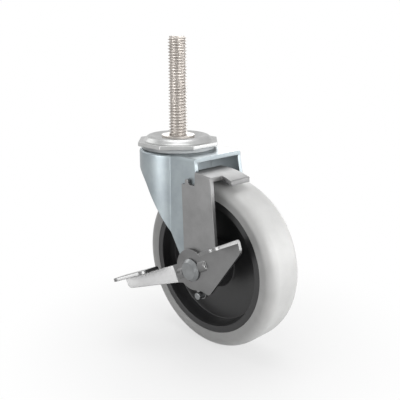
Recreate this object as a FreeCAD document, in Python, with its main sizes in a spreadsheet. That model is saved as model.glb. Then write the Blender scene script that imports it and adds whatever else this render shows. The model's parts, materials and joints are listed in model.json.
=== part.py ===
# Threaded stem swivel caster with a total-lock foot brake.
# Frame: origin on the swivel axis at the top of the bearing, where the stem enters the furniture.
# +Z runs up the stem, +X runs back towards the wheel axle, -Y is the side with the foot lever.
import FreeCAD, Part
import math
import os
import re
import Sketcher

doc = FreeCAD.newDocument("SwivelCaster")
sheet = doc.addObject("Spreadsheet::Sheet", "Sheet")
# Driving sizes in millimetres and degrees
SIZES = {
    # Stem and king pin
    "stem_radius": 5.556,
    "stem_length": 57.15,
    "stem_chamfer": 1.15,
    "collar_radius": 9.8,
    "king_radius": 5.5,
    "tail_radius": 4.0,
    "rivet_radius": 6.4,
    "rivet_height": 1.8,
    # Top cap
    "cap_width": 46.6,
    "skirt_height": 2.46,
    "dome_height": 3.0,
    "dome_ledge": 2.6,
    "dome_slope": 3.7,
    "dome_lip": 0.6,
    "dish_seat": 1.0,
    "dish_depth": 1.6,
    "cap_roof": 1.0,
    "cap_boss_land": 5.0,
    "cap_pocket_land": 3.5,
    "cap_fit": 0.05,
    # Ball races
    "ball_radius": 2.0,
    "ball_play": 0.1,
    "upper_pitch": 14.0,
    "ball_space": 0.85,
    "lower_pitch": 9.5,
    "swivel_gap": 0.15,
    "race_floor": 0.98,
    "race_inner_land": 3.5,
    "race_outer_land": 4.4,
    "dust_gap": 0.2,
    "dust_wall": 3.0,
    "cup_play": 0.5,
    "cup_wall": 1.6,
    "cup_clearance": 0.32,
    "cup_depth": 3.8,
    # Fork
    "fork_sheet": 2.5,
    "fork_nose": 4.3,
    "wheel_clearance": 4.08,
    "fork_rear": 33.4,
    "fork_bend": 1.8,
    "fork_rear_drop": 3.7,
    "fork_front_drop": 9.7,
    "fork_knee": 9.07,
    "fork_knee_round": 24.0,
    "fork_boss_radius": 10.0,
    "king_clearance": 0.5,
    "trail": 35.16,
    "fork_headroom": 3.99,
    # Axle
    "bolt_radius": 4.0,
    "bolt_play": 0.08,
    "bolt_head_radius": 6.6,
    "bolt_head_rim": 0.8,
    "bolt_head_height": 2.7,
    "bolt_head_face": 5.0,
    "bolt_tip": 1.3,
    "sleeve_radius": 6.0,
    "washer_radius": 8.0,
    "washer_thickness": 1.6,
    "nut_wall": 2.5,
    "nut_chamfer": 0.8,
    "nut_height": 6.2,
    "nut_collar": 1.9,
    "nut_collar_wall": 0.8,
    "insert_wall": 1.3,
    "insert_height": 1.7,
    "nut_lip": 0.5,
    # Wheel
    "wheel_radius": 50.0,
    "tread_width": 24.84,
    "tread_shoulder": 5.65,
    "tread_thickness": 9.4,
    "rim_wall": 3.8,
    "recess_draft": 0.77,
    "recess_foot_depth": 5.37,
    "web_step": 1.33,
    "web_width": 8.0,
    "key_height": 2.0,
    "key_width": 12.0,
    "key_slope": 2.0,
    "bond_gap": 0.04,
    "boss_base_radius": 15.0,
    "boss_end_radius": 12.5,
    "hub_play": 0.2,
    "bush_radius": 8.5,
    "bush_length": 12.0,
    "bush_play": 0.05,
    "flange_radius": 11.0,
    "flange_thickness": 0.9,
    # Brake plate and shoe
    "plate_gap": 0.1,
    "plate_thickness": 2.3,
    "shoe_gap": 3.8,
    "shoe_thickness": 2.4,
    "shoe_front": 2.46,
    "shoe_rear": 19.5,
    "neck_front": 0.44,
    "neck_rear": 12.24,
    "neck_front_edge": 5.8,
    "neck_rear_edge": 9.3,
    "shoe_far_edge": 2.7,
    "shoe_corner": 0.5,
    "neck_bend": 0.8,
    "shoulder_width": 2.6,
    "shoulder_depth": 8.03,
    "finger_width": 2.8,
    "finger_rear": 4.56,
    "finger_height": 3.1,
    "notch_rise": 0.33,
    "notch_round": 0.9,
    "shoulder_round": 0.5,
    "plate_rear": 16.74,
    "plate_rear_height": 14.0,
    "plate_rear_round": 4.0,
    "plate_foot_radius": 7.9,
    "brake_clearance": 0.2,
    "slot_play": 0.15,
    "pin_radius": 2.0,
    "pin_along": 1.58,
    "pin_clearance": 0.749,
    "pin_wall": 0.7,
    "pin_fit": 0.03,
    "pin_reach": 2.0,
    # Foot lever
    "lever_gap": 0.1,
    "lever_thickness": 2.0,
    "lever_tilt": 27.5,
    "lever_boss_radius": 12.0,
    "lever_top": 5.8,
    "wing_length": 42.0,
    "wing_setback": 0.9,
    "wing_tip_height": 0.4,
    "wing_tip_round": 4.0,
    "wing_width": 15.0,
    "lobe_x": 7.03,
    "lobe_depth": 4.9,
    "lobe_round": 3.0,
    "cam_x": 0.3,
    "cam_inset": 0.1,
    "cam_round": 2.0,
    "cam_root_x": 6.7,
    "cam_root_drop": 6.5,
    "bend_x": 14.45,
    "arm_drop": 4.8,
    "arm_angle": 25.0,
    "arm_rise": 3.4,
    "arm_length": 32.8,
    "arm_tip_height": 1.2,
    "arm_tip_corner": 3.0,
    "pedal_width": 17.5,
    "front_pedal_start": 10.5,
    "front_pedal_width": 16.5,
    "pedal_corner": 4.5,
    "pedal_bend": 1.6,
    "bead_height": 1.7,
    "bead_radius": 3.5,
    "bead_corner": 0.8,
    "bead_front": 12.2,
    "bead_rear": 13.0,
    "seat_margin": 0.6,
}
for row, (alias, number) in enumerate(SIZES.items(), start=1):
    sheet.set("A%d" % row, str(number))
    sheet.setAlias("A%d" % row, alias)
doc.recompute()

# Heights and places that follow from the sizes
CEILING = "(-dish_depth - cap_roof)"
UPPER_BALL = "(%s - ball_play - ball_radius)" % CEILING
FORK_TOP = "(%s - ball_radius - ball_play - race_floor)" % UPPER_BALL
FORK_UNDER = "(%s - fork_sheet)" % FORK_TOP
CAP_BOTTOM = "(-dome_height - skirt_height)"
RING_TOP = "(%s - swivel_gap)" % CAP_BOTTOM
CUP_FLOOR = "(%s - cup_depth)" % FORK_UNDER
CUP_BOTTOM = "(%s - cup_wall)" % CUP_FLOOR
LOWER_BALL = "(%s + ball_play + ball_radius)" % CUP_FLOOR
SHOE_RADIUS = "(wheel_radius + shoe_gap + shoe_thickness)"
AXLE = "(%s - fork_headroom - %s)" % (FORK_UNDER, SHOE_RADIUS)
LEG_INNER = "(tread_width / 2 + wheel_clearance)"
LEG_OUTER = "(%s + fork_sheet)" % LEG_INNER
FORK_NOSE = "(%s + fork_nose)" % LEG_OUTER
HUB_END = "(%s - hub_play - flange_thickness)" % LEG_INNER
PLATE_INNER = "(%s + plate_gap)" % LEG_OUTER
PLATE_OUTER = "(%s + plate_thickness)" % PLATE_INNER
LEVER_INNER = "(%s + lever_gap)" % PLATE_OUTER
LEVER_OUTER = "(%s + lever_thickness)" % LEVER_INNER
HEAD_SEAT = "(%s + lever_gap)" % LEVER_OUTER
NUT_SEAT = "(%s + washer_thickness)" % LEG_OUTER
NUT_TOP = "(%s + nut_height)" % NUT_SEAT
BOLT_END = "(%s + nut_collar + bolt_tip)" % NUT_TOP
NUT_FLAT = "(bolt_radius + nut_wall)"
INSERT_RADIUS = "(bolt_radius + insert_wall)"
NUT_COLLAR = "(%s + nut_collar_wall)" % INSERT_RADIUS
SEAT_RADIUS = "(bolt_head_radius + seat_margin)"
DOME_BASE = "(cap_width / 2 - dome_ledge)"
DOME_RIM = "(%s - dome_slope)" % DOME_BASE
CAP_BOSS = "(upper_pitch - cap_boss_land)"
CAP_POCKET = "(upper_pitch + cap_pocket_land)"
RACE_INNER = "(upper_pitch - race_inner_land)"
RACE_OUTER = "(upper_pitch + race_outer_land)"
DUST_INNER = "(%s + dust_gap)" % RACE_OUTER
DUST_OUTER = "(%s + dust_wall)" % DUST_INNER
CUP_RADIUS = "(lower_pitch + ball_radius + cup_play + cup_wall)"
BALLS_ROUND = "floor(2 * pi * %s / (2 * ball_radius + ball_space))"
RIM_RADIUS = "(wheel_radius - tread_thickness)"
RECESS_RADIUS = "(%s - rim_wall)" % RIM_RADIUS
RECESS_FOOT = "(%s - recess_draft)" % RECESS_RADIUS
WEB_RADIUS = "(%s - web_step)" % RECESS_FOOT
FINGER_FRONT = "(finger_rear + finger_width)"
SHOULDER_REACH = "(%s + shoulder_width)" % FINGER_FRONT
NOTCH_DEPTH = "(shoulder_depth - notch_rise)"
FINGER_TOP = "(%s - shoulder_depth + finger_height)" % SHOE_RADIUS
BRAKE_TRAVEL = "(shoe_gap - brake_clearance)"
WING_TIP = "(wing_length - wing_setback)"
WING_START = "(wing_length - wing_width)"

# The cam edge of the lever, and the pin that lies under it while the lever is at rest
CAM_DROP = "(lever_boss_radius - cam_inset)"
LOBE_DROP = "(%s + lobe_depth)" % CAM_DROP
CAM_ANGLE = "atan(lobe_depth / (lobe_x + cam_x))"
PIN_OFF = "(pin_radius + pin_clearance)"
PIN_ALONG = "(pin_along * cos(%s) - %s * sin(%s) - cam_x)" % (CAM_ANGLE, PIN_OFF, CAM_ANGLE)
PIN_BELOW = "(pin_along * sin(%s) + %s * cos(%s) + %s)" % (CAM_ANGLE, PIN_OFF, CAM_ANGLE, CAM_DROP)
PIN_X = "(%s * cos(lever_tilt) + %s * sin(lever_tilt))" % (PIN_ALONG, PIN_BELOW)
PIN_Z = "(%s * sin(lever_tilt) - %s * cos(lever_tilt))" % (PIN_ALONG, PIN_BELOW)


def bound(expression):
    """Point every alias in an expression at the sheet."""
    return re.sub(r"[a-z][a-z_]*", lambda word: "Sheet." + word[0] if word[0] in SIZES else word[0],
                  expression)


def value(expression):
    """The present value of an expression, as a plain number."""
    result = sheet.evalExpression(expression)
    return float(getattr(result, "Value", result))


def bind(target, prop, expression):
    target.setExpression(prop, bound(expression))


def new_body(label, at_axle=False):
    body = doc.addObject("PartDesign::Body", label)
    body.Label = label
    if at_axle:
        bind(body, "Placement.Base.x", "trail")
        bind(body, "Placement.Base.z", AXLE)
    return body


def new_sketch(body, role, offset="0", name="Sketch"):
    """Sketch on an origin plane of its own body, shifted along the plane's normal."""
    sketch = body.newObject("Sketcher::SketchObject", body.Name + name)
    plane = [p for p in body.Origin.OriginFeatures if p.Role == role][0]
    sketch.AttachmentSupport = [(plane, "")]
    sketch.MapMode = "FlatFace"
    if offset != "0":
        bind(sketch, "AttachmentOffset.Base.z", offset)
    return sketch


def pin_point(sketch, geometry, position, across, up):
    """Dimension one point of a sketch from the sketch origin."""
    for kind, expression, axis in (("DistanceX", across, -2), ("DistanceY", up, -1)):
        if expression == "0":
            sketch.addConstraint(Sketcher.Constraint("PointOnObject", geometry, position, axis))
            continue
        index = sketch.addConstraint(
            Sketcher.Constraint(kind, -1, 1, geometry, position, value(expression)))
        bind(sketch, "Constraints[%d]" % index, expression)


def circle(sketch, across, up, radius):
    centre = FreeCAD.Vector(value(across), value(up), 0)
    shape = Part.Circle(centre, FreeCAD.Vector(0, 0, 1), value(radius))
    geometry = sketch.addGeometry(shape, False)
    pin_point(sketch, geometry, 3, across, up)
    index = sketch.addConstraint(Sketcher.Constraint("Radius", geometry, value(radius)))
    bind(sketch, "Constraints[%d]" % index, radius)
    return geometry


def sharp(across, up):
    return {"kind": "sharp", "x": across, "y": up, "r": "0"}


def rounded(across, up, radius):
    """A corner at a point, rounded with a radius."""
    return {"kind": "rounded", "x": across, "y": up, "r": radius}


def around(across, up, radius):
    """An arc about a centre that both neighbouring sides touch."""
    return {"kind": "around", "x": across, "y": up, "r": radius}


def side_between(first, second):
    """Ends of the side between two corners of a counter-clockwise outline."""
    start, end = first["point"], second["point"]
    leave = first["radius"] if first["kind"] == "around" else 0.0
    arrive = second["radius"] if second["kind"] == "around" else 0.0
    along = end - start
    tilt = math.asin((leave - arrive) / along.Length)
    heading = math.atan2(along.y, along.x) - math.pi / 2 + tilt
    outward = FreeCAD.Vector(math.cos(heading), math.sin(heading), 0)
    return start + outward * leave, end + outward * arrive


def outline(sketch, corners):
    """Closed counter-clockwise outline of straight sides and tangent arcs."""
    for corner in corners:
        corner["point"] = FreeCAD.Vector(value(corner["x"]), value(corner["y"]), 0)
        corner["radius"] = value(corner["r"])
    count = len(corners)
    sides = [side_between(corners[i], corners[(i + 1) % count]) for i in range(count)]
    starts = [side[0] for side in sides]
    ends = [side[1] for side in sides]
    turns = []
    for i, corner in enumerate(corners):
        before = (sides[i - 1][1] - sides[i - 1][0]).normalize()
        after = (sides[i][1] - sides[i][0]).normalize()
        turn = math.atan2(before.cross(after).z, before.dot(after))
        turns.append(turn)
        if corner["kind"] == "rounded":
            trim = corner["radius"] * math.tan(abs(turn) / 2)
            ends[i - 1] = corner["point"] - before * trim
            starts[i] = corner["point"] + after * trim
    lines = [sketch.addGeometry(Part.LineSegment(starts[i], ends[i]), False) for i in range(count)]
    for i, corner in enumerate(corners):
        before, after = lines[i - 1], lines[i]
        if corner["kind"] == "sharp":
            sketch.addConstraint(Sketcher.Constraint("Coincident", before, 2, after, 1))
            pin_point(sketch, before, 2, corner["x"], corner["y"])
            continue
        left = turns[i] > 0 or corner["kind"] == "around"
        heading = (ends[i - 1] - sides[i - 1][0]).normalize()
        inward = FreeCAD.Vector(-heading.y, heading.x, 0) * (1 if left else -1)
        centre = ends[i - 1] + inward * corner["radius"]
        ring = Part.Circle(centre, FreeCAD.Vector(0, 0, 1), corner["radius"])
        first, last = (ends[i - 1], starts[i]) if left else (starts[i], ends[i - 1])
        angles = [math.atan2(p.y - centre.y, p.x - centre.x) for p in (first, last)]
        if angles[1] <= angles[0]:
            angles[1] += 2 * math.pi
        arc = sketch.addGeometry(Part.ArcOfCircle(ring, angles[0], angles[1]), False)
        sketch.addConstraint(Sketcher.Constraint("Tangent", before, 2, arc, 1 if left else 2))
        sketch.addConstraint(Sketcher.Constraint("Tangent", arc, 2 if left else 1, after, 1))
        index = sketch.addConstraint(Sketcher.Constraint("Radius", arc, corner["radius"]))
        bind(sketch, "Constraints[%d]" % index, corner["r"])
        if corner["kind"] == "around":
            pin_point(sketch, arc, 3, corner["x"], corner["y"])
            continue
        mark = sketch.addGeometry(Part.Point(corner["point"]), True)
        sketch.addConstraint(Sketcher.Constraint("PointOnObject", mark, 1, before))
        sketch.addConstraint(Sketcher.Constraint("PointOnObject", mark, 1, after))
        pin_point(sketch, mark, 1, corner["x"], corner["y"])
    return sketch


def extrude(body, kind, sketch, length, towards_back=False, both=False):
    """Pad or Pocket of a sketch; towards_back flips its usual direction."""
    feature = body.newObject("PartDesign::" + kind, sketch.Name + kind)
    feature.Profile = sketch
    if length == "through":
        feature.Type = "ThroughAll"
    else:
        bind(feature, "Length", length)
    if both:
        feature.SideType = "Symmetric"
    feature.Reversed = towards_back
    sketch.Visibility = False
    body.Tip = feature
    doc.recompute()
    return feature


def spin(body, kind, sketch, axis, degrees="360", both=False):
    """Revolution or Groove of a sketch about one of its own axes."""
    feature = body.newObject("PartDesign::" + kind, sketch.Name + kind)
    feature.Profile = sketch
    feature.ReferenceAxis = (sketch, [axis])
    bind(feature, "Angle", degrees)
    feature.Midplane = both
    body.Tip = feature
    doc.recompute()
    return feature


def round_edges(body, radius, wanted, name="Round"):
    """Fillet of the edges of the present solid that a test picks out."""
    base = body.Tip
    edges = base.Shape.Edges
    names = ["Edge%d" % (i + 1) for i, edge in enumerate(edges) if wanted(edge)]
    feature = body.newObject("PartDesign::Fillet", body.Name + name)
    feature.Base = (base, names)
    bind(feature, "Radius", radius)
    body.Tip = feature
    doc.recompute()
    return feature


def near(first, second):
    return abs(first - second) < 0.001


# The threaded stem is one turned and riveted piece: stem, collar, king pin and tail.
stem = new_body("threaded_stem")
profile = new_sketch(stem, "XZ_Plane")
outline(profile, [
    sharp("0", "(%s - rivet_height)" % CUP_BOTTOM),
    rounded("rivet_radius", "(%s - rivet_height)" % CUP_BOTTOM, "rivet_height / 2"),
    sharp("rivet_radius", CUP_BOTTOM),
    sharp("tail_radius", CUP_BOTTOM),
    sharp("tail_radius", CUP_FLOOR),
    sharp("king_radius", CUP_FLOOR),
    sharp("king_radius", "-dish_depth"),
    sharp("collar_radius", "-dish_depth"),
    sharp("collar_radius", "0"),
    sharp("stem_radius", "0"),
    sharp("stem_radius", "stem_length - stem_chamfer"),
    sharp("stem_radius - stem_chamfer", "stem_length"),
    sharp("0", "stem_length")])
spin(stem, "Revolution", profile, "V_Axis")

# The pressed top cap: octagonal skirt, domed crown with a dish for the collar, ball pocket below.
cap = new_body("top_cap")
plan = new_sketch(cap, "XY_Plane", CAP_BOTTOM, "Skirt")
half, corner = "cap_width / 2", "cap_width / 2 * tan(22.5)"
outline(plan, [
    sharp(half, "-" + corner), sharp(half, corner),
    sharp(corner, half), sharp("-" + corner, half),
    sharp("-" + half, corner), sharp("-" + half, "-" + corner),
    sharp("-" + corner, "-" + half), sharp(corner, "-" + half)])
extrude(cap, "Pad", plan, "skirt_height")
crown = new_sketch(cap, "XZ_Plane", "0", "Crown")
outline(crown, [
    sharp("0", "-dome_height - skirt_height / 2"),
    sharp(DOME_BASE, "-dome_height - skirt_height / 2"),
    sharp(DOME_BASE, "-dome_height"),
    rounded("%s + dome_slope * 0.35" % DOME_RIM, "0", "dome_height * 1.2"),
    sharp("%s - dome_lip" % DOME_RIM, "0"),
    sharp("collar_radius + dish_seat", "-dish_depth"),
    sharp("0", "-dish_depth")])
spin(cap, "Revolution", crown, "V_Axis")
pocket = new_sketch(cap, "XZ_Plane", "0", "BallPocket")
outline(pocket, [
    sharp(CAP_BOSS, "(%s - skirt_height)" % CAP_BOTTOM),
    sharp(CAP_POCKET, "(%s - skirt_height)" % CAP_BOTTOM),
    rounded(CAP_POCKET, CEILING, "ball_radius * 0.7"),
    rounded(CAP_BOSS, CEILING, "ball_radius * 0.7")])
spin(cap, "Groove", pocket, "V_Axis")
bore = new_sketch(cap, "XY_Plane", "0", "Bore")
circle(bore, "0", "0", "king_radius + cap_fit")
extrude(cap, "Pocket", bore, "through", both=True)

# The lower cup is riveted under the fork and holds the second row of balls.
cup = new_body("lower_cup")
profile = new_sketch(cup, "XZ_Plane")
cup_rim = "(%s - cup_clearance)" % FORK_UNDER
outline(profile, [
    sharp("tail_radius + cap_fit", CUP_BOTTOM),
    rounded(CUP_RADIUS, CUP_BOTTOM, "cup_wall * 1.2"),
    sharp(CUP_RADIUS, cup_rim),
    sharp("%s - cup_wall" % CUP_RADIUS, cup_rim),
    rounded("%s - cup_wall" % CUP_RADIUS, CUP_FLOOR, "ball_radius * 0.6"),
    sharp("tail_radius + cap_fit", CUP_FLOOR)])
spin(cup, "Revolution", profile, "V_Axis")


def ball_row(label, pitch, height):
    """A ring of bearing balls."""
    row = new_body(label)
    row.AllowCompound = True
    section = new_sketch(row, "XZ_Plane", "0", "Section")
    top = section.addGeometry(Part.ArcOfCircle(
        Part.Circle(FreeCAD.Vector(value(pitch), value(height), 0), FreeCAD.Vector(0, 0, 1),
                    value("ball_radius")), -math.pi / 2, math.pi / 2), False)
    chord = section.addGeometry(Part.LineSegment(
        FreeCAD.Vector(value(pitch), value(height) + value("ball_radius"), 0),
        FreeCAD.Vector(value(pitch), value(height) - value("ball_radius"), 0)), False)
    section.addConstraint(Sketcher.Constraint("Coincident", top, 2, chord, 1))
    section.addConstraint(Sketcher.Constraint("Coincident", top, 1, chord, 2))
    section.addConstraint(Sketcher.Constraint("PointOnObject", top, 3, chord))
    section.addConstraint(Sketcher.Constraint("Vertical", chord))
    index = section.addConstraint(Sketcher.Constraint("Radius", top, value("ball_radius")))
    bind(section, "Constraints[%d]" % index, "ball_radius")
    pin_point(section, top, 3, pitch, height)
    ball = row.newObject("PartDesign::Revolution", label + "Ball")
    ball.Profile = section
    ball.ReferenceAxis = (section, ["Edge2"])
    row.Tip = ball
    doc.recompute()
    ring = row.newObject("PartDesign::PolarPattern", label + "Ring")
    ring.Originals = [ball]
    ring.Axis = ([a for a in row.Origin.OriginFeatures if a.Role == "Z_Axis"][0], [""])
    bind(ring, "Occurrences", BALLS_ROUND % pitch)
    ring.Angle = 360
    row.Tip = ring
    doc.recompute()
    return row


upper_balls = ball_row("upper_balls", "upper_pitch", UPPER_BALL)
lower_balls = ball_row("lower_balls", "lower_pitch", LOWER_BALL)

# The race ring lies on the fork and carries the upper balls in a groove.
race = new_body("race_ring")
profile = new_sketch(race, "XZ_Plane")
outline(profile, [
    sharp(RACE_INNER, FORK_TOP), sharp(RACE_OUTER, FORK_TOP),
    sharp(RACE_OUTER, RING_TOP), sharp(RACE_INNER, RING_TOP)])
spin(race, "Revolution", profile, "V_Axis")
track = new_sketch(race, "XZ_Plane", "0", "Track")
circle(track, "upper_pitch", UPPER_BALL, "ball_radius + ball_play")
spin(race, "Groove", track, "V_Axis")

# The dust ring closes the gap under the cap.
dust = new_body("dust_ring")
profile = new_sketch(dust, "XZ_Plane")
outline(profile, [
    sharp(DUST_INNER, FORK_TOP),
    rounded(DUST_OUTER, FORK_TOP, "0.3"),
    rounded(DUST_OUTER, RING_TOP, "0.3"),
    sharp(DUST_INNER, RING_TOP)])
spin(dust, "Revolution", profile, "V_Axis")

# The fork is drawn as a shell round the swivel axis and then cut to its side view.
fork = new_body("fork")
plan = new_sketch(fork, "XY_Plane", FORK_TOP, "Plan")
depth = "(fork_boss_radius * 2 - %s)" % AXLE
far = "(trail + fork_boss_radius * 2)"


def horseshoe(sketch, radius, half_width, rear):
    """Front arc about the swivel axis that runs into two straight sides."""
    reach, half = value(radius), value(half_width)
    begin = math.atan2(half, math.sqrt(reach ** 2 - half ** 2))
    zero, axis = FreeCAD.Vector(0, 0, 0), FreeCAD.Vector(0, 0, 1)
    ring = Part.Circle(zero, axis, reach)
    front = sketch.addGeometry(Part.ArcOfCircle(ring, begin, 2 * math.pi - begin), False)
    corner = FreeCAD.Vector(reach * math.cos(begin), half, 0)
    back = FreeCAD.Vector(value(rear), half, 0)
    mirrored = [FreeCAD.Vector(p.x, -p.y, 0) for p in (corner, back)]
    upper = sketch.addGeometry(Part.LineSegment(back, corner), False)
    lower = sketch.addGeometry(Part.LineSegment(mirrored[0], mirrored[1]), False)
    end = sketch.addGeometry(Part.LineSegment(mirrored[1], back), False)
    for first, second in (((upper, 2), (front, 1)), ((front, 2), (lower, 1)),
                          ((lower, 2), (end, 1)), ((end, 2), (upper, 1))):
        sketch.addConstraint(Sketcher.Constraint("Coincident", *(first + second)))
    sketch.addConstraint(Sketcher.Constraint("Coincident", front, 3, -1, 1))
    sketch.addConstraint(Sketcher.Constraint("Horizontal", upper))
    sketch.addConstraint(Sketcher.Constraint("Horizontal", lower))
    index = sketch.addConstraint(Sketcher.Constraint("Radius", front, reach))
    bind(sketch, "Constraints[%d]" % index, radius)
    pin_point(sketch, end, 2, rear, half_width)
    pin_point(sketch, end, 1, rear, "-" + half_width)


horseshoe(plan, FORK_NOSE, LEG_OUTER, far)
extrude(fork, "Pad", plan, depth, towards_back=True)
round_edges(fork, "fork_bend", lambda edge: (
    near(edge.BoundBox.ZMin, value(FORK_TOP)) and near(edge.BoundBox.ZMax, value(FORK_TOP))
    and edge.BoundBox.XMin < value(far) - 1), "TopBend")
inside = new_sketch(fork, "XY_Plane", FORK_UNDER, "Inside")
horseshoe(inside, "(%s - fork_sheet)" % FORK_NOSE, LEG_INNER, "(%s + 1)" % far)
extrude(fork, "Pocket", inside, "through")
side_view = new_sketch(fork, "XZ_Plane", "0", "SideView")
outline(side_view, [
    sharp("-%s - 9" % FORK_NOSE, "(%s - fork_boss_radius * 4)" % AXLE),
    sharp("(%s + 9)" % far, "(%s - fork_boss_radius * 4)" % AXLE),
    sharp("(%s + 9)" % far, "9"),
    sharp("-%s - 9" % FORK_NOSE, "9")])
outline(side_view, [
    around("trail", AXLE, "fork_boss_radius"),
    sharp("fork_rear", "(%s - fork_rear_drop)" % FORK_TOP),
    sharp("fork_rear", "5"),
    sharp("-%s - 5" % FORK_NOSE, "5"),
    sharp("-%s - 5" % FORK_NOSE, "(%s - fork_front_drop)" % FORK_TOP),
    rounded("-fork_knee", "(%s - fork_front_drop)" % FORK_TOP, "fork_knee_round")])
extrude(fork, "Pocket", side_view, "through", both=True)
lower_track = new_sketch(fork, "XZ_Plane", "0", "LowerTrack")
circle(lower_track, "lower_pitch", LOWER_BALL, "ball_radius + ball_play")
spin(fork, "Groove", lower_track, "V_Axis")
king_hole = new_sketch(fork, "XY_Plane", "0", "KingHole")
circle(king_hole, "0", "0", "king_radius + king_clearance")
extrude(fork, "Pocket", king_hole, "through", both=True)
axle_hole = new_sketch(fork, "XZ_Plane", "0", "AxleHole")
circle(axle_hole, "trail", AXLE, "bolt_radius + bolt_play")
extrude(fork, "Pocket", axle_hole, "through", both=True)

# Axle bolt with a low round head, its sleeve, and the washer and locking nut on the far side.
bolt = new_body("axle_bolt", True)
profile = new_sketch(bolt, "YZ_Plane")
outline(profile, [
    sharp("-(%s + bolt_head_height)" % HEAD_SEAT, "0"),
    sharp(BOLT_END, "0"),
    sharp(BOLT_END, "bolt_radius * 0.85"),
    sharp("%s - bolt_radius * 0.15" % BOLT_END, "bolt_radius"),
    sharp("-" + HEAD_SEAT, "bolt_radius"),
    sharp("-" + HEAD_SEAT, "bolt_head_radius"),
    sharp("-(%s + bolt_head_rim)" % HEAD_SEAT, "bolt_head_radius"),
    sharp("-(%s + bolt_head_height)" % HEAD_SEAT, "bolt_head_face")])
spin(bolt, "Revolution", profile, "H_Axis")

sleeve = new_body("axle_sleeve", True)
profile = new_sketch(sleeve, "XZ_Plane", "-" + LEG_INNER)
circle(profile, "0", "0", "sleeve_radius")
circle(profile, "0", "0", "bolt_radius + bolt_play")
extrude(sleeve, "Pad", profile, "2 * " + LEG_INNER)

washer = new_body("nut_washer", True)
profile = new_sketch(washer, "XZ_Plane", "-" + LEG_OUTER)
circle(profile, "0", "0", "washer_radius")
circle(profile, "0", "0", "bolt_radius + bolt_play")
extrude(washer, "Pad", profile, "washer_thickness", towards_back=True)

nut = new_body("axle_nut", True)
flats = new_sketch(nut, "XZ_Plane", "-" + NUT_SEAT, "Flats")
across, point = NUT_FLAT, "%s / cos(30)" % NUT_FLAT
outline(flats, [
    sharp(point, "0"), sharp("%s / 2" % point, across),
    sharp("-%s / 2" % point, across), sharp("-" + point, "0"),
    sharp("-%s / 2" % point, "-" + across), sharp("%s / 2" % point, "-" + across)])
extrude(nut, "Pad", flats, "nut_height", towards_back=True)
corners = new_sketch(nut, "YZ_Plane", "0", "Corners")
cone_start, cone_end = "%s * 0.96" % NUT_FLAT, "(%s * 0.96 + nut_chamfer / tan(30))" % NUT_FLAT
outline(corners, [
    sharp(NUT_SEAT, cone_start), sharp("%s + nut_chamfer" % NUT_SEAT, cone_end),
    sharp(NUT_SEAT, cone_end)])
outline(corners, [
    sharp(NUT_TOP, cone_start), sharp(NUT_TOP, cone_end),
    sharp("%s - nut_chamfer" % NUT_TOP, cone_end)])
spin(nut, "Groove", corners, "H_Axis")
crown = new_sketch(nut, "YZ_Plane", "0", "Crown")
outline(crown, [
    sharp("%s - nut_collar" % NUT_TOP, "bolt_radius"),
    sharp("%s + nut_collar" % NUT_TOP, "bolt_radius"),
    rounded("%s + nut_collar" % NUT_TOP, NUT_COLLAR, "nut_collar / 2"),
    sharp("%s - nut_collar" % NUT_TOP, NUT_COLLAR)])
spin(nut, "Revolution", crown, "H_Axis")
hollow = new_sketch(nut, "YZ_Plane", "0", "Hollow")
insert_end = "(%s + nut_collar - nut_lip)" % NUT_TOP
outline(hollow, [
    sharp("%s - 1" % NUT_SEAT, "0"),
    sharp("%s + nut_lip + 1" % insert_end, "0"),
    sharp("%s + nut_lip + 1" % insert_end, "bolt_radius + nut_lip"),
    sharp(insert_end, "bolt_radius + nut_lip"),
    sharp(insert_end, INSERT_RADIUS),
    sharp("%s - insert_height" % insert_end, INSERT_RADIUS),
    sharp("%s - insert_height" % insert_end, "bolt_radius + bolt_play"),
    sharp("%s - 1" % NUT_SEAT, "bolt_radius + bolt_play")])
spin(nut, "Groove", hollow, "H_Axis")
insert = new_body("nut_insert", True)
profile = new_sketch(insert, "YZ_Plane")
outline(profile, [
    sharp("%s - insert_height" % insert_end, "bolt_radius + bolt_play"),
    sharp(insert_end, "bolt_radius + bolt_play"),
    sharp(insert_end, "%s - bush_play" % INSERT_RADIUS),
    sharp("%s - insert_height" % insert_end, "%s - bush_play" % INSERT_RADIUS)])
spin(insert, "Revolution", profile, "H_Axis")

# Wheel hub: a moulded disc with a deep dished face on each side and a keyed rim for the tread.
hub = new_body("wheel_hub", True)
profile = new_sketch(hub, "YZ_Plane")
rim_side, web_side, boss_side = "tread_width / 2", "web_width / 2", HUB_END
foot_side = "(tread_width / 2 - recess_foot_depth)"
outline(profile, [
    sharp("-" + boss_side, "bush_radius + bush_play"),
    sharp(boss_side, "bush_radius + bush_play"),
    rounded(boss_side, "boss_end_radius", "0.8"),
    rounded(web_side, "boss_base_radius", "0.8"),
    sharp(web_side, WEB_RADIUS),
    sharp(foot_side, RECESS_FOOT),
    sharp(rim_side, RECESS_RADIUS),
    sharp(rim_side, RIM_RADIUS),
    sharp("key_width / 2 + key_slope", RIM_RADIUS),
    sharp("key_width / 2", "%s + key_height" % RIM_RADIUS),
    sharp("-key_width / 2", "%s + key_height" % RIM_RADIUS),
    sharp("-key_width / 2 - key_slope", RIM_RADIUS),
    sharp("-" + rim_side, RIM_RADIUS),
    sharp("-" + rim_side, RECESS_RADIUS),
    sharp("-" + foot_side, RECESS_FOOT),
    sharp("-" + web_side, WEB_RADIUS),
    rounded("-" + web_side, "boss_base_radius", "0.8"),
    rounded("-" + boss_side, "boss_end_radius", "0.8")])
spin(hub, "Revolution", profile, "H_Axis")

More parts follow.
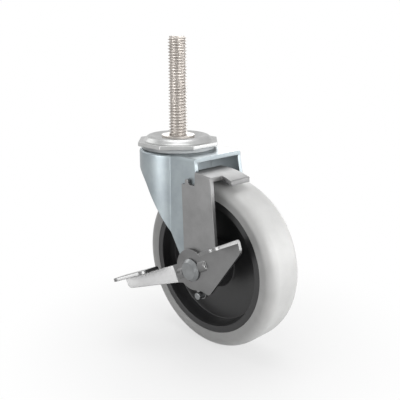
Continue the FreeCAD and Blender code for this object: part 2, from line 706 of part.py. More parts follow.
tread = new_body("tread", True)
profile = new_sketch(tread, "YZ_Plane")
outline(profile, [
    sharp("-" + rim_side, "%s + bond_gap" % RIM_RADIUS),
    sharp("-key_width / 2 - key_slope", "%s + bond_gap" % RIM_RADIUS),
    sharp("-key_width / 2", "%s + key_height + bond_gap" % RIM_RADIUS),
    sharp("key_width / 2", "%s + key_height + bond_gap" % RIM_RADIUS),
    sharp("key_width / 2 + key_slope", "%s + bond_gap" % RIM_RADIUS),
    sharp(rim_side, "%s + bond_gap" % RIM_RADIUS),
    rounded(rim_side, "wheel_radius", "tread_shoulder"),
    rounded("-" + rim_side, "wheel_radius", "tread_shoulder")])
spin(tread, "Revolution", profile, "H_Axis")


def flanged_bush(label, hand):
    """Sleeve bearing pressed into one end of the hub, its flange against the fork leg."""
    bush = new_body(label, True)
    section = new_sketch(bush, "YZ_Plane")
    outer, inner = "bush_radius", "sleeve_radius + bush_play"
    seat, face = HUB_END, "(%s + flange_thickness)" % HUB_END
    tail = "(%s - bush_length)" % HUB_END
    corners = [(tail, inner), (face, inner), (face, "flange_radius"), (seat, "flange_radius"),
               (seat, outer), (tail, outer)]
    if hand < 0:
        corners = [("-" + across, up) for across, up in reversed(corners)]
    outline(section, [sharp(across, up) for across, up in corners])
    spin(bush, "Revolution", section, "H_Axis")
    return bush


bush_near = flanged_bush("bush_near", -1)
bush_far = flanged_bush("bush_far", 1)

# Brake plate: one stamping, flat beside the fork leg and bent over the tread as a curved shoe.
plate = new_body("brake_plate", True)
shoe = new_sketch(plate, "XZ_Plane", "-shoe_far_edge", "Shoe")
SHOE_UNDER = "(%s - shoe_thickness)" % SHOE_RADIUS


def band(sketch, outer, inner, front, rear):
    """Ring sector about the sketch origin between two upright lines."""
    centre, normal = FreeCAD.Vector(0, 0, 0), FreeCAD.Vector(0, 0, 1)
    arcs = []
    for radius in (outer, inner):
        reach = value(radius)
        ring = Part.Circle(centre, normal, reach)
        angles = [math.acos(value(edge) / reach) for edge in (rear, front)]
        arcs.append(sketch.addGeometry(Part.ArcOfCircle(ring, angles[0], angles[1]), False))
        sketch.addConstraint(Sketcher.Constraint("Coincident", arcs[-1], 3, -1, 1))
        index = sketch.addConstraint(Sketcher.Constraint("Radius", arcs[-1], reach))
        bind(sketch, "Constraints[%d]" % index, radius)
    for end, edge in ((1, rear), (2, front)):
        tops = [sketch.getPoint(arc, end) for arc in arcs]
        line = sketch.addGeometry(Part.LineSegment(tops[0], tops[1]), False)
        sketch.addConstraint(Sketcher.Constraint("Coincident", arcs[0], end, line, 1))
        sketch.addConstraint(Sketcher.Constraint("Coincident", arcs[1], end, line, 2))
        sketch.addConstraint(Sketcher.Constraint("Vertical", line))
        index = sketch.addConstraint(
            Sketcher.Constraint("DistanceX", -1, 1, line, 1, value(edge)))
        bind(sketch, "Constraints[%d]" % index, edge)


band(shoe, SHOE_RADIUS, SHOE_UNDER, "-shoe_front", "shoe_rear")
extrude(plate, "Pad", shoe, "(%s + shoe_far_edge)" % PLATE_OUTER)
waist = new_sketch(plate, "XY_Plane", "(%s + 5)" % SHOE_RADIUS, "Waist")
outline(waist, [
    sharp("-shoe_front - 5", "-%s - 5" % PLATE_OUTER),
    sharp("neck_front", "-%s - 5" % PLATE_OUTER),
    rounded("neck_front", "neck_front_edge - %s" % PLATE_OUTER, "shoe_corner"),
    sharp("-shoe_front - 5", "neck_front_edge - %s" % PLATE_OUTER)])
outline(waist, [
    sharp("neck_rear", "-%s - 5" % PLATE_OUTER),
    sharp("shoe_rear + 5", "-%s - 5" % PLATE_OUTER),
    sharp("shoe_rear + 5", "neck_rear_edge - %s" % PLATE_OUTER),
    rounded("neck_rear", "neck_rear_edge - %s" % PLATE_OUTER, "shoe_corner")])
extrude(plate, "Pocket", waist, SHOE_RADIUS)
round_edges(plate, "shoe_corner", lambda edge: (
    near(edge.BoundBox.XLength, 0) and near(edge.BoundBox.YLength, 0)
    and (near(edge.BoundBox.XMin, value("-shoe_front")) or near(edge.BoundBox.XMin, value("shoe_rear")))),
    "Corners")
flat = new_sketch(plate, "XZ_Plane", PLATE_INNER, "Flat")
outline(flat, [
    around(PIN_X, PIN_Z, "pin_radius + pin_wall"),
    rounded("plate_rear", "plate_rear_height", "plate_rear_round"),
    sharp("neck_rear", "sqrt(%s^2 - neck_rear^2) - shoe_thickness / 2" % SHOE_RADIUS),
    sharp("neck_front", "%s - shoe_thickness / 2" % SHOE_RADIUS),
    rounded("neck_front", "%s - %s" % (SHOE_RADIUS, NOTCH_DEPTH), "notch_round"),
    rounded("-finger_rear", "%s - %s" % (SHOE_RADIUS, NOTCH_DEPTH), "notch_round"),
    rounded("-finger_rear", FINGER_TOP, "finger_width * 0.42"),
    rounded("-" + FINGER_FRONT, FINGER_TOP, "finger_width * 0.42"),
    rounded("-" + FINGER_FRONT, "%s - shoulder_depth" % SHOE_RADIUS, "shoulder_round"),
    rounded("-" + SHOULDER_REACH, "%s - shoulder_depth" % SHOE_RADIUS, "shoulder_round"),
    around("0", "0", "plate_foot_radius")])
extrude(plate, "Pad", flat, "plate_thickness")
round_edges(plate, "neck_bend", lambda edge: (
    near(edge.BoundBox.YMin, -value(PLATE_OUTER)) and near(edge.BoundBox.YLength, 0)
    and edge.BoundBox.ZMin > value("%s - shoe_thickness * 2" % SHOE_RADIUS)
    and edge.BoundBox.XLength > value("neck_rear - neck_front") * 0.8), "Bend")
slot = new_sketch(plate, "XZ_Plane", "0", "Slot")
outline(slot, [
    around("0", "0", "bolt_radius + slot_play"),
    around("0", BRAKE_TRAVEL, "bolt_radius + slot_play")])
extrude(plate, "Pocket", slot, "through", both=True)
pin_hole = new_sketch(plate, "XZ_Plane", "0", "PinHole")
circle(pin_hole, PIN_X, PIN_Z, "pin_radius + pin_fit")
extrude(plate, "Pocket", pin_hole, "through", both=True)

# Cam pin: riveted into the foot of the plate, its free end under the cam edge of the lever.
pin = new_body("cam_pin", True)
profile = new_sketch(pin, "XZ_Plane", PLATE_INNER)
circle(profile, PIN_X, PIN_Z, "pin_radius")
extrude(pin, "Pad", profile, "(plate_thickness + lever_gap + lever_thickness + pin_reach)")

# Foot lever, drawn level about the axle and turned to its rest angle.
lever = new_body("brake_lever")
bind(lever, "Placement",
     "placement(vector(trail; 0; %s); rotation(vector(0; 1; 0); -lever_tilt))" % AXLE)
blank = new_sketch(lever, "XZ_Plane", LEVER_INNER, "Blank")
outline(blank, [
    sharp("-bend_x", "-arm_drop"),
    rounded("-cam_root_x", "-cam_root_drop", "lobe_round"),
    rounded("-cam_x", "-" + CAM_DROP, "cam_round"),
    rounded("lobe_x", "-" + LOBE_DROP, "lobe_round"),
    rounded(WING_TIP, "wing_tip_height", "wing_tip_round"),
    sharp("wing_length", "lever_top"),
    sharp("-bend_x", "lever_top")])
extrude(lever, "Pad", blank, "lever_thickness")
boss = new_sketch(lever, "XZ_Plane", LEVER_INNER, "Boss")
circle(boss, "0", "0", "lever_boss_radius")
extrude(lever, "Pad", boss, "lever_thickness")
arm = new_sketch(lever, "XY_Plane", "-arm_drop", "Arm")
reach = "(arm_length + lever_thickness)"
tip = ("(-bend_x - %s * cos(arm_angle))" % reach, "(-%s - %s * sin(arm_angle))" % (LEVER_OUTER, reach))
outline(arm, [
    sharp("1 - bend_x", "-" + LEVER_OUTER),
    sharp("1 - bend_x", "-" + LEVER_INNER),
    rounded("-bend_x - lever_thickness * tan(arm_angle / 2)", "-" + LEVER_INNER, "lever_thickness"),
    sharp("%s - lever_thickness * sin(arm_angle)" % tip[0],
          "%s + lever_thickness * cos(arm_angle)" % tip[1]),
    sharp(tip[0], tip[1]),
    sharp("-bend_x", "-" + LEVER_OUTER)])
arm_top = "(lever_top + arm_length * tan(arm_rise))"
extrude(lever, "Pad", arm, "(arm_drop + %s)" % arm_top)
around_arm = new_sketch(lever, "XZ_Plane", "0", "AroundArm")
bind(around_arm, "AttachmentOffset",
     "placement(vector(-bend_x; 0; %s); rotation(vector(0; 1; 0); arm_angle))" % LEVER_OUTER)
outline(around_arm, [
    sharp("-arm_length * 1.3", "-arm_drop * 2"),
    sharp("0", "-arm_drop * 2"),
    sharp("0", "-arm_drop"),
    rounded("-arm_length", "arm_tip_height", "arm_tip_corner"),
    sharp("-arm_length", arm_top),
    sharp("0", "lever_top"),
    sharp("lever_thickness + 1", "lever_top"),
    sharp("lever_thickness + 1", "%s * 2" % arm_top),
    sharp("-arm_length * 1.3", "%s * 2" % arm_top)])
extrude(lever, "Pocket", around_arm, "through", both=True)
rear_pedal = new_sketch(lever, "XY_Plane", "lever_top", "RearPedal")
outline(rear_pedal, [
    rounded(WING_START, "-%s - pedal_width" % LEVER_OUTER, "pedal_corner"),
    rounded("wing_length", "-%s - pedal_width" % LEVER_OUTER, "pedal_corner"),
    sharp("wing_length", "-" + LEVER_INNER),
    sharp(WING_START, "-" + LEVER_INNER)])
extrude(lever, "Pad", rear_pedal, "lever_thickness")
front_pedal = new_sketch(lever, "XY_Plane", "0", "FrontPedal")
bind(front_pedal, "AttachmentOffset",
     "placement(vector(-bend_x; -%s; lever_top); rotation(arm_angle; arm_rise; 0))" % LEVER_OUTER)
pedal_end = "-arm_length / cos(arm_rise)"
outline(front_pedal, [
    rounded(pedal_end, "-front_pedal_width", "pedal_corner"),
    rounded("-front_pedal_start", "-front_pedal_width", "pedal_corner"),
    sharp("-front_pedal_start", "lever_thickness"),
    sharp(pedal_end, "lever_thickness")])
extrude(lever, "Pad", front_pedal, "lever_thickness")


def top_edge(edge, sketch, behind):
    """Whether an edge is the one where a pedal's top meets the back of its upright wall."""
    thickness, back = value("lever_thickness"), value(behind)
    ends = [sketch.Placement.inverse().multVec(vertex.Point) for vertex in edge.Vertexes]
    return (edge.Length > thickness * 2
            and all(near(p.y, back) and near(p.z, thickness) for p in ends))


round_edges(lever, "pedal_bend", lambda edge: (
    top_edge(edge, rear_pedal, "-" + LEVER_INNER)
    or top_edge(edge, front_pedal, "lever_thickness")), "PedalBends")
bead_axis = "(bead_radius - bead_height - %s)" % LEVER_OUTER


def bead(name, kind, radius, degrees):
    """Half-round bar along the lever, added or cut about the bead's own axis."""
    section = new_sketch(lever, "XY_Plane", "0", name)
    shift = "(bead_radius - %s)" % radius
    outline(section, [
        sharp("%s - bead_front" % shift, bead_axis),
        rounded("%s - bead_front" % shift, "%s - %s" % (bead_axis, radius), "bead_corner"),
        rounded("bead_rear - %s" % shift, "%s - %s" % (bead_axis, radius), "bead_corner"),
        sharp("bead_rear - %s" % shift, bead_axis)])
    middle = Part.LineSegment(FreeCAD.Vector(-1, value(bead_axis), 0),
                              FreeCAD.Vector(1, value(bead_axis), 0))
    line = section.addGeometry(middle, True)
    section.addConstraint(Sketcher.Constraint("Horizontal", line))
    pin_point(section, line, 1, "-1", bead_axis)
    section.addConstraint(Sketcher.Constraint("DistanceX", line, 1, line, 2, 2))
    spin(lever, kind, section, "Axis0", degrees, both=True)


bead("Bead", "Revolution", "bead_radius", "180")
bead("BeadHollow", "Groove", "(bead_radius - lever_thickness)", "360")
clear = new_sketch(lever, "XZ_Plane", LEVER_OUTER, "SeatFace")
circle(clear, "0", "0", SEAT_RADIUS)
extrude(lever, "Pocket", clear, "(bead_height + 1)", towards_back=True)
seat = new_sketch(lever, "XZ_Plane", LEVER_INNER, "Seat")
circle(seat, "0", "0", SEAT_RADIUS)
extrude(lever, "Pad", seat, "lever_thickness")
bore = new_sketch(lever, "XZ_Plane", "0", "PivotBore")
circle(bore, "0", "0", "bolt_radius + bolt_play")
extrude(lever, "Pocket", bore, "through", both=True)

doc.recompute()
failed = [item.Name for item in doc.Objects if "Invalid" in item.State or "Error" in item.State]
if failed:
    raise RuntimeError("failed objects: " + ", ".join(failed))
pieces = [item for item in doc.Objects if item.isDerivedFrom("PartDesign::Body")]
for piece in pieces:
    if piece.Shape.isNull() or not piece.Shape.isValid():
        raise RuntimeError("unsound shape: " + piece.Label)
os.makedirs("parts", exist_ok=True)
for piece in pieces:
    piece.Shape.exportStep("parts/%s.step" % piece.Label)
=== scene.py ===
import json
import math
import bmesh
import bpy
from mathutils import Matrix, Vector


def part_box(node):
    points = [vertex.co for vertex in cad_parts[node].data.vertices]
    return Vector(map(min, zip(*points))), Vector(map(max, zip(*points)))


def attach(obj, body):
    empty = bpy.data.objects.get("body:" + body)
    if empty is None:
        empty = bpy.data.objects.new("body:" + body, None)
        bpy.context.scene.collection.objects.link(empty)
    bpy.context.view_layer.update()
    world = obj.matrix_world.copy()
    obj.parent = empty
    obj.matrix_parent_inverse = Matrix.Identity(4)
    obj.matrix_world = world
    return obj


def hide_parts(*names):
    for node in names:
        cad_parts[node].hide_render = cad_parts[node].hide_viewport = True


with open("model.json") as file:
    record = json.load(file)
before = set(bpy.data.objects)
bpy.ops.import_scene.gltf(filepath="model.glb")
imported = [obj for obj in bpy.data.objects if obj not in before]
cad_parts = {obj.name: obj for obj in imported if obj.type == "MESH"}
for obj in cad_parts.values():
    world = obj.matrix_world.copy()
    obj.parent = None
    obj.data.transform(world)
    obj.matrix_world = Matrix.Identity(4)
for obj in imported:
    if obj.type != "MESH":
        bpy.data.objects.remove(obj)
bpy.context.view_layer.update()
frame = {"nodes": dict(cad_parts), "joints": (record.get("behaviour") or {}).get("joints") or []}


# Threaded stem: one piece of zinc-plated carbon steel, turned with its collar and king pin.
# The 7/16 inch coarse thread is rolled from the collar to the chamfer at the tip.
# Clear-passivated zinc over a turned blank looks satin, a little warm, with fine lathe rings.
def linear(code):
    """Linear colour of an sRGB hex code."""
    levels = [int(code[i:i + 2], 16) / 255 for i in (1, 3, 5)]
    return [level / 12.92 if level <= 0.04045 else ((level + 0.055) / 1.055) ** 2.4
            for level in levels] + [1.0]


def add(tree, kind, inputs=(), **settings):
    """Add a node, with its settings, and set or link its inputs by name or order."""
    node = tree.nodes.new(kind)
    for key, setting in settings.items():
        setattr(node, key, setting)
    for key, given in inputs.items() if isinstance(inputs, dict) else enumerate(inputs):
        given = given.outputs[0] if isinstance(given, bpy.types.Node) else given
        if isinstance(given, bpy.types.NodeSocket):
            tree.links.new(given, node.inputs[key])
        elif given is not None:
            node.inputs[key].default_value = given
    return node


def empty_tree(owner):
    """Node tree of a material or a world, cleared."""
    owner.use_nodes = True
    owner.node_tree.nodes.clear()
    return owner.node_tree


def clouded(tree, place, light, dark, cloud, detail, breakup):
    """Colour that drifts between two tones, in clouds of a real width."""
    clouds = add(tree, "ShaderNodeTexNoise", {
        "Vector": place, "Scale": 1 / cloud, "Detail": detail, "Roughness": breakup})
    tone = add(tree, "ShaderNodeValToRGB", [clouds])
    for stop, position, code in zip(tone.color_ramp.elements, (0.3, 0.7), (dark, light)):
        stop.position = position
        stop.color = linear(code)
    return tone


def zinc_plate(name, light, dark, roughness, cloud, grain, stretch=(1, 1, 1)):
    """Zinc over steel: cloudy plating, and fine marks of turning or rolling along one way.

    cloud and grain are the widths of a cloud and of a mark, in metres. Real marks are 0.1 mm wide
    or less, so they are drawn as coarse as they need to show. Along each axis, a stretch above 1
    packs the marks closer, and one below 1 draws them out.
    """
    material = bpy.data.materials.new(name)
    tree = empty_tree(material)
    place = add(tree, "ShaderNodeTexCoord").outputs["Object"]
    tone = clouded(tree, place, light, dark, cloud, detail=5.0, breakup=0.62)
    along = add(tree, "ShaderNodeMapping", {"Vector": place, "Scale": stretch})
    marks = add(tree, "ShaderNodeTexNoise", {
        "Vector": along, "Scale": 1 / grain, "Detail": 3.0, "Roughness": 0.5})
    gloss = add(tree, "ShaderNodeMapRange", {
        "Value": marks, "From Min": 0.3, "From Max": 0.7,
        "To Min": roughness - 0.05, "To Max": roughness + 0.07})
    relief = add(tree, "ShaderNodeBump", {"Height": marks, "Strength": 0.25, "Distance": 1.5e-5})
    shader = add(tree, "ShaderNodeBsdfPrincipled", {
        "Base Color": tone, "Metallic": 1.0, "Roughness": gloss, "Normal": relief})
    add(tree, "ShaderNodeOutputMaterial", [shader])
    return material


def rolled_thread(name, sizes, material):
    """Right-hand thread about Z, whose rows follow the helix and stop at its two ends."""
    # Shares of the pitch, counted from the middle of a crest. The crest of a 60 degree thread is
    # flat over an eighth of the pitch, and its root over a quarter.
    crest_end, root_start = 1 / 16, 3 / 8
    seam_gap = 1e-6
    tree = bpy.data.node_groups.new(name, "GeometryNodeTree")
    for key in sizes:
        tree.interface.new_socket(key, in_out="INPUT", socket_type="NodeSocketFloat")
    tree.interface.new_socket("Geometry", in_out="OUTPUT", socket_type="NodeSocketGeometry")
    given = add(tree, "NodeGroupInput").outputs
    # A flat grid, as long as the turns need, with one column more to close it round.
    length = add(tree, "ShaderNodeMath", [given["High"], given["Low"]], operation="SUBTRACT")
    pitches = add(tree, "ShaderNodeMath", [length, given["Pitch"]], operation="DIVIDE")
    turns = add(tree, "ShaderNodeMath", [pitches, 1.0], operation="ADD")
    steps = add(tree, "ShaderNodeMath", [turns, given["Rows per turn"]], operation="MULTIPLY")
    rows = add(tree, "ShaderNodeMath", [steps], operation="CEIL")
    rows_up = add(tree, "ShaderNodeMath", [rows, 1.0], operation="ADD")
    columns = add(tree, "ShaderNodeMath", [given["Columns"], 1.0], operation="ADD")
    grid = add(tree, "GeometryNodeMeshGrid", {
        "Size X": math.tau, "Size Y": rows, "Vertices X": columns, "Vertices Y": rows_up})
    # Height of each point: up the helix from a turn below, held between the two ends.
    spot = add(tree, "ShaderNodeSeparateXYZ", [add(tree, "GeometryNodeInputPosition")]).outputs
    angle = add(tree, "ShaderNodeMath", [spot["X"], math.pi], operation="ADD")
    share = add(tree, "ShaderNodeMath", [angle, math.tau], operation="DIVIDE")
    half = add(tree, "ShaderNodeMath", [rows, 2.0], operation="DIVIDE")
    row = add(tree, "ShaderNodeMath", [spot["Y"], half], operation="ADD")
    risen = add(tree, "ShaderNodeMath", [row, given["Rows per turn"]], operation="DIVIDE")
    lead = add(tree, "ShaderNodeMath", [share, 1.0], operation="SUBTRACT")
    climbed = add(tree, "ShaderNodeMath", [risen, lead], operation="ADD")
    free = add(tree, "ShaderNodeMath", [climbed, given["Pitch"], given["Low"]],
               operation="MULTIPLY_ADD")
    above = add(tree, "ShaderNodeMath", [free, given["Low"]], operation="MAXIMUM")
    height = add(tree, "ShaderNodeMath", [above, given["High"]], operation="MINIMUM")
    # Radius of each point: the profile by its place in the pitch, cut back by the chamfer.
    passed = add(tree, "ShaderNodeMath", [height, given["Low"]], operation="SUBTRACT")
    level = add(tree, "ShaderNodeMath", [passed, given["Pitch"]], operation="DIVIDE")
    phase = add(tree, "ShaderNodeMath", [level, share], operation="SUBTRACT")
    swing = add(tree, "ShaderNodeMath", [phase, 0.5], operation="PINGPONG")
    tooth = add(tree, "ShaderNodeMapRange", {
        "Value": swing, "From Min": crest_end, "From Max": root_start,
        "To Min": given["Major"], "To Max": given["Root"]})
    end = add(tree, "ShaderNodeMath", [given["High"], given["Chamfer"]], operation="SUBTRACT")
    past = add(tree, "ShaderNodeMath", [height, end], operation="SUBTRACT")
    cone = add(tree, "ShaderNodeMath", [given["Major"], past], operation="SUBTRACT")
    radius = add(tree, "ShaderNodeMath", [tooth, cone], operation="MINIMUM")
    around = add(tree, "ShaderNodeMath", [angle], operation="COSINE")
    across = add(tree, "ShaderNodeMath", [angle], operation="SINE")
    east = add(tree, "ShaderNodeMath", [radius, around], operation="MULTIPLY")
    north = add(tree, "ShaderNodeMath", [radius, across], operation="MULTIPLY")
    point = add(tree, "ShaderNodeCombineXYZ", [east, north, height])
    bent = add(tree, "GeometryNodeSetPosition", {"Geometry": grid, "Position": point})
    closed = add(tree, "GeometryNodeMergeByDistance", {"Geometry": bent, "Distance": seam_gap})
    real = add(tree, "GeometryNodeRealizeInstances", [closed])
    coated = add(tree, "GeometryNodeSetMaterial", {"Geometry": real, "Material": material})
    add(tree, "NodeGroupOutput", [coated])
    maker = bpy.data.objects.new(name, bpy.data.meshes.new(name))
    bpy.context.collection.objects.link(maker)
    modifier = maker.modifiers.new(name, "NODES")
    modifier.node_group = tree
    for item in tree.interface.items_tree:
        if item.in_out == "INPUT":
            modifier[item.identifier] = float(sizes[item.name])
    mesh = bpy.data.meshes.new_from_object(
        maker.evaluated_get(bpy.context.evaluated_depsgraph_get()))
    bpy.data.objects.remove(maker)
    return mesh


def merged_copy(node):
    """Mesh of a CAD node with its loose triangles joined and its flats made whole."""
    weld_reach = 2e-6
    flat_within = math.radians(0.05)
    mesh = frame["nodes"][node].data.copy()
    for spare in ("custom_normal", "sharp_edge", "sharp_face"):
        if spare in mesh.attributes:
            mesh.attributes.remove(mesh.attributes[spare])
    work = bmesh.new()
    work.from_mesh(mesh)
    bmesh.ops.remove_doubles(work, verts=work.verts, dist=weld_reach)
    bmesh.ops.dissolve_limit(work, angle_limit=flat_within, verts=work.verts, edges=work.edges)
    for face in work.faces:
        face.smooth = True
    work.to_mesh(mesh)
    work.free()
    return mesh


def threaded(node, thread, cut_at, cut_facing):
    """A node's mesh with what lies past a plane swapped for a threaded length."""
    crease = math.radians(32)
    mesh = merged_copy(node)
    work = bmesh.new()
    work.from_mesh(mesh)
    bmesh.ops.bisect_plane(work, geom=work.verts[:] + work.edges[:] + work.faces[:], dist=1e-7,
                           plane_co=cut_at, plane_no=cut_facing, clear_outer=True)
    work.from_mesh(thread)
    bmesh.ops.holes_fill(work, edges=[edge for edge in work.edges if edge.is_boundary])
    bmesh.ops.recalc_face_normals(work, faces=work.faces)
    for face in work.faces:
        face.smooth = True
    work.to_mesh(mesh)
    work.free()
    mesh.set_sharp_from_angle(angle=crease)
    return mesh


def stand_in(name, mesh, material, body, node):
    """Show a finished mesh in place of a CAD node, on the node's own body."""
    mesh.name = name
    mesh.materials.clear()
    mesh.materials.append(material)
    piece = bpy.data.objects.new(name, mesh)
    bpy.context.collection.objects.link(piece)
    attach(piece, body)
    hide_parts(node)
    return piece


stem_major = 0.005556
stem_root = 0.00449
stem_pitch = 0.0254 / 14
stem_chamfer = 0.00115
stem_sunk = 0.0003
above_collar = (0, 0, 5e-5)
stem_steel = zinc_plate("zinc_plated_turned_steel", "#bdb8b3", "#aaa5a0", roughness=0.46,
                        cloud=0.006, grain=0.002, stretch=(1, 1, 4))
stem_thread = rolled_thread("stem_thread", {
    "Major": stem_major, "Root": stem_root, "Pitch": stem_pitch, "Low": -stem_sunk,
    "High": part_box("threaded_stem")[1].z, "Chamfer": stem_chamfer,
    "Columns": 64, "Rows per turn": 16}, stem_steel)
stem_mesh = threaded("threaded_stem", stem_thread, cut_at=above_collar, cut_facing=(0, 0, 1))
stand_in("stem_with_thread", stem_mesh, stem_steel, "head", "threaded_stem")


# Top cap: pressed from thick steel sheet with an eight-sided skirt and a domed, dished crown.
# It is zinc plated after pressing, so it is bright, and its edges are slightly broken.
def eased(node, name, material, body, edge, from_angle=38):
    """Show a CAD node with its edges broken by a small width.

    An edge that folds by less than from_angle, in degrees, is part of a round and stays whole.
    """
    piece = stand_in(name, merged_copy(node), material, body, node)
    soft = piece.modifiers.new("edges", "BEVEL")
    soft.limit_method = "ANGLE"
    soft.angle_limit = math.radians(from_angle)
    soft.width = edge
    soft.segments = 2
    soft.use_clamp_overlap = False
    flat = piece.modifiers.new("flats", "WEIGHTED_NORMAL")
    flat.keep_sharp = True
    shape = bpy.data.meshes.new_from_object(
        piece.evaluated_get(bpy.context.evaluated_depsgraph_get()))
    piece.modifiers.clear()
    piece.data = shape
    return piece


cap_steel = zinc_plate("zinc_plated_pressed_cap", "#b1b1b1", "#a1a2a1", roughness=0.36,
                       cloud=0.012, grain=0.0008)
cap = eased("top_cap", "top_cap_pressing", cap_steel, "head", edge=0.0003)


# Balls: two rows of hardened chrome steel, which run above and below the fork's crown.
# They are ground and lapped, so they are the shiniest thing on the caster.
def coat(node, material):
    """Give a CAD node its finish."""
    for holder in frame["nodes"][node].material_slots:
        holder.material = material


ball_steel = zinc_plate("ground_chrome_steel", "#d0d2d4", "#c2c4c8", roughness=0.14,
                        cloud=0.004, grain=0.0005)
coat("upper_balls", ball_steel)
coat("lower_balls", ball_steel)


# Dust ring: a polyethylene seal, moulded in one ring, that closes the gap under the cap.
# Polyethylene is waxy and pale, with a soft, blurred shine.
def moulded_plastic(name, light, dark, roughness, mottle, grain, relief_depth):
    """Moulded polymer: an even colour with a fine tool texture from the mould.

    mottle and grain are the widths of a cloud and of the texture's grain, in metres. Real grain
    is 0.1 mm wide or less, so it is drawn as coarse as it needs to show.
    """
    material = bpy.data.materials.new(name)
    tree = empty_tree(material)
    place = add(tree, "ShaderNodeTexCoord").outputs["Object"]
    tone = clouded(tree, place, light, dark, mottle, detail=4.0, breakup=0.6)
    texture = add(tree, "ShaderNodeTexNoise", {
        "Vector": place, "Scale": 1 / grain, "Detail": 2.0, "Roughness": 0.5})
    gloss = add(tree, "ShaderNodeMapRange", {
        "Value": texture, "From Min": 0.3, "From Max": 0.7,
        "To Min": roughness - 0.04, "To Max": roughness + 0.05})
    relief = add(tree, "ShaderNodeBump", {
        "Height": texture, "Strength": 0.35, "Distance": relief_depth})
    shader = add(tree, "ShaderNodeBsdfPrincipled", {
        "Base Color": tone, "Roughness": gloss, "IOR": 1.5, "Normal": relief})
    add(tree, "ShaderNodeOutputMaterial", [shader])
    return material


seal_plastic = moulded_plastic("grey_polyethylene", "#b4b7b8", "#a8abad", roughness=0.5,
                               mottle=0.01, grain=0.0008, relief_depth=2e-5)
coat("dust_ring", seal_plastic)


# Fork: one stamping of 2.5 mm sheet, folded into a horseshoe crown and two tapering legs.
# Its clear-passivated zinc is a cool blue-grey, with faint rolling marks down the legs.
# The race ring on its crown and the cup riveted below it are plated the same way.
fork_steel = zinc_plate("blue_passivated_zinc_sheet", "#959da0", "#858c90", roughness=0.38,
                        cloud=0.014, grain=0.0009, stretch=(6, 6, 0.8))
eased("fork", "fork_stamping", fork_steel, "fork_frame", edge=0.0003,
      from_angle=33.4)
coat("race_ring", fork_steel)
coat("lower_cup", fork_steel)


# Wheel hub: injection moulded in black polypropylene, with a dished recess on each side.
# The moulding has a fine even texture and a soft shine on its rims.
hub_plastic = moulded_plastic("black_polypropylene", "#2a2a2b", "#222223", roughness=0.36,
                              mottle=0.015, grain=0.0007, relief_depth=2e-5)
eased("wheel_hub", "hub_moulding", hub_plastic, "wheel", edge=0.0003)


# Tread: grey thermoplastic rubber, moulded over the hub rim in one ring.
# It is matt beside the plastic, a little dusty in tone, with rounded shoulders.
tread_rubber = moulded_plastic("grey_thermoplastic_rubber", "#b9b9b8", "#afafae",
                               roughness=0.45, mottle=0.012, grain=0.0006, relief_depth=3e-5)
coat("tread", tread_rubber)


# Bushes: two flanged sleeves, moulded in natural nylon and pressed into the hub.
# Natural nylon is off-white and slightly waxy.
nylon = moulded_plastic("natural_nylon", "#d9d4c6", "#cec9ba", roughness=0.42,
                        mottle=0.006, grain=0.0006, relief_depth=2e-5)
coat("bush_near", nylon)
coat("bush_far", nylon)


# Axle: a plated 8 mm bolt with a low round head, through a plated spacer sleeve in the bushes.
# A washer and a nylon-insert nut hold it on the far side, and its threaded tip stands out there.
# Zinc over cold-headed steel is a smooth mid grey, with a tighter shine than the sheet's.
bolt_major = 0.004
bolt_root = 0.0034
bolt_pitch = 0.00125
bolt_thread_length = 0.009
bolt_overlap = 2e-4
bolt_steel = zinc_plate("zinc_plated_cold_headed_steel", "#868889", "#757778", roughness=0.33,
                        cloud=0.005, grain=0.0006)
tip_thread = rolled_thread("bolt_thread", {
    "Major": bolt_major, "Root": bolt_root, "Pitch": bolt_pitch, "Low": 0.0,
    "High": bolt_thread_length, "Chamfer": bolt_major - bolt_root,
    "Columns": 40, "Rows per turn": 16}, bolt_steel)
axle = next(joint["pos_m"] for joint in frame["joints"] if joint["name"] == "wheel_spin")
thread_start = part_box("axle_bolt")[1].y - bolt_thread_length
tip_thread.transform(Matrix.Translation((axle[0], thread_start, axle[2]))
                     @ Matrix.Rotation(-math.pi / 2, 4, "X"))
bolt_mesh = threaded("axle_bolt", tip_thread, cut_at=(0, thread_start + bolt_overlap, 0),
                     cut_facing=(0, 1, 0))
stand_in("axle_bolt_with_thread", bolt_mesh, bolt_steel, "fork_frame", "axle_bolt")
eased("nut_washer", "washer_disc", bolt_steel, "fork_frame", edge=0.0002)
coat("axle_sleeve", bolt_steel)
coat("axle_nut", bolt_steel)
coat("nut_insert", nylon)


# Brake plate: one stamping beside the fork leg, folded over the tread as a curved shoe.
# The cam pin is riveted into its foot. Both are zinc-plated steel, a plain grey.
brake_steel = zinc_plate("grey_zinc_brake_sheet", "#858585", "#777777", roughness=0.42,
                         cloud=0.013, grain=0.0008, stretch=(6, 6, 0.8))
eased("brake_plate", "brake_stamping", brake_steel, "brake_shoe", edge=0.00025,
      from_angle=60)
eased("cam_pin", "cam_pin_turned", bolt_steel, "brake_shoe", edge=0.0003)


# Foot lever: 2 mm zinc-plated sheet with two folded pedals and a pressed bead.
# It swings on the axle bolt, and is the darkest of the plated pieces.
lever_steel = zinc_plate("dark_zinc_lever_sheet", "#7b7b7b", "#6e6e6e", roughness=0.34,
                         cloud=0.013, grain=0.0008, stretch=(1, 6, 6))
eased("brake_lever", "lever_stamping", lever_steel, "lever", edge=0.00025,
      from_angle=24)


# Studio: a pale paper floor under the wheel, which fades into the white room round the caster.
# Near the wheel the paper is matt enough to take a shadow, and farther out it only looks white.
def backdrop_rays(tree):
    """1 for a ray that should meet the white backdrop, and 0 for the light on the object."""
    rays = add(tree, "ShaderNodeLightPath").outputs
    seen = add(tree, "ShaderNodeMath", [rays["Is Camera Ray"], rays["Is Glossy Ray"]],
               operation="MAXIMUM")
    return add(tree, "ShaderNodeMath", [seen, rays["Is Transmission Ray"]], operation="MAXIMUM")


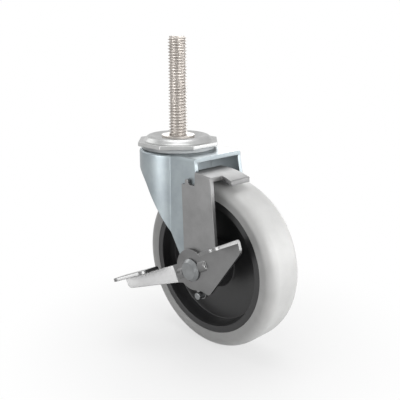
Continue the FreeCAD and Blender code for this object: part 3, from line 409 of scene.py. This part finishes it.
white = (1, 1, 1, 1)
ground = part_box("tread")[0].z
floor_reach = 3.0
fade_start, fade_end = 0.02, 0.14
white_at_wheel, white_far_out = 0.66, 1.0
floor_mesh = bpy.data.meshes.new("floor")
floor_mesh.from_pydata([(x * floor_reach, y * floor_reach, ground)
                        for x, y in ((-1, -1), (1, -1), (1, 1), (-1, 1))], [], [(0, 1, 2, 3)])
floor = bpy.data.objects.new("floor", floor_mesh)
bpy.context.collection.objects.link(floor)
paper = bpy.data.materials.new("white_paper_sweep")
tree = empty_tree(paper)
spot = add(tree, "ShaderNodeTexCoord").outputs["Object"]
away = add(tree, "ShaderNodeVectorMath", [spot, (axle[0], axle[1], ground)],
           operation="DISTANCE").outputs["Value"]
fade = add(tree, "ShaderNodeMapRange", {
    "Value": away, "From Min": fade_start, "From Max": fade_end,
    "To Min": white_at_wheel, "To Max": white_far_out}, interpolation_type="SMOOTHSTEP")
amount = add(tree, "ShaderNodeMath", [fade, backdrop_rays(tree)], operation="MULTIPLY")
matt = add(tree, "ShaderNodeBsdfDiffuse", {"Color": linear("#d0d0d0")})
glow = add(tree, "ShaderNodeEmission", {"Color": white, "Strength": 1.0})
add(tree, "ShaderNodeOutputMaterial", [add(tree, "ShaderNodeMixShader", [amount, matt, glow])])
floor_mesh.materials.append(paper)

world = bpy.data.worlds.new("white_room")
bpy.context.scene.world = world
tree = empty_tree(world)
room = add(tree, "ShaderNodeBackground", {"Color": white, "Strength": 0.2})
backdrop = add(tree, "ShaderNodeBackground", {"Color": white, "Strength": 1.0})
shown = add(tree, "ShaderNodeMixShader", [backdrop_rays(tree), room, backdrop])
add(tree, "ShaderNodeOutputWorld", [shown])


# Lamps: soft square panels behind, on both sides, in front and above, all aimed at the fork.
# No view shows them. The front one adds shine alone, and no light of its own to matt surfaces.
# Each has its place and width in metres, and its power in watts.
panels = {
    "back_right_panel": ((0.46, 0.42, 0.02), 0.36, 1.6),
    "back_panel": ((-0.48, 0.5, 0.34), 0.46, 2.2),
    "right_panel": ((0.62, -0.1, 0.12), 0.36, 2.9),
    "front_panel": ((-0.08, -0.7, 0.0), 0.34, 2.9),
    "left_panel": ((-0.62, -0.15, 0.32), 0.36, 0.75),
    "top_panel": ((0.0, 0.0, 0.85), 0.6, 4.4),
}
aim = Vector((0.02, 0.0, -0.05))
for name, (place, width, power) in panels.items():
    lamp = bpy.data.lights.new(name, "AREA")
    lamp.shape = "SQUARE"
    lamp.size = width
    lamp.energy = power
    panel = bpy.data.objects.new(name, lamp)
    panel.location = place
    panel.rotation_euler = (aim - Vector(place)).to_track_quat("-Z", "Y").to_euler()
    panel.visible_camera = False
    panel.visible_diffuse = name != "front_panel"
    bpy.context.collection.objects.link(panel)

# The cap's flat dish would mirror the whole back panel and burn out, so it is kept off the cap.
flagged = bpy.data.collections.new("kept_from_back_panel")
flagged.objects.link(cap)
flagged.collection_objects[0].light_linking.link_state = "EXCLUDE"
bpy.data.objects["back_panel"].light_linking.receiver_collection = flagged


# Camera: at the photograph's viewing angle and distance, upright, with no shift.
# Its focal length is counted in pixels of the photograph, which is 400 pixels wide.
camera_place = Vector((0.26545, -0.24691, 0.05911))
camera_elevation = math.radians(15.434)
camera_azimuth = math.radians(45.0)
camera_focal = 607.94
photo_width = 400
camera_data = bpy.data.cameras.new("camera")
camera_data.sensor_width = 36.0
camera_data.lens = camera_focal * camera_data.sensor_width / photo_width
camera_data.clip_start = 0.01
camera = bpy.data.objects.new("camera", camera_data)
backward = Vector((math.sin(camera_azimuth) * math.cos(camera_elevation),
                   -math.cos(camera_azimuth) * math.cos(camera_elevation),
                   math.sin(camera_elevation)))
rightward = Vector((math.cos(camera_azimuth), math.sin(camera_azimuth), 0.0))
upward = backward.cross(rightward)
turn = Matrix((rightward, upward, backward)).transposed().to_4x4()
camera.matrix_world = Matrix.Translation(camera_place) @ turn
bpy.context.collection.objects.link(camera)
bpy.context.scene.camera = camera
bpy.context.scene.view_settings.view_transform = "Standard"
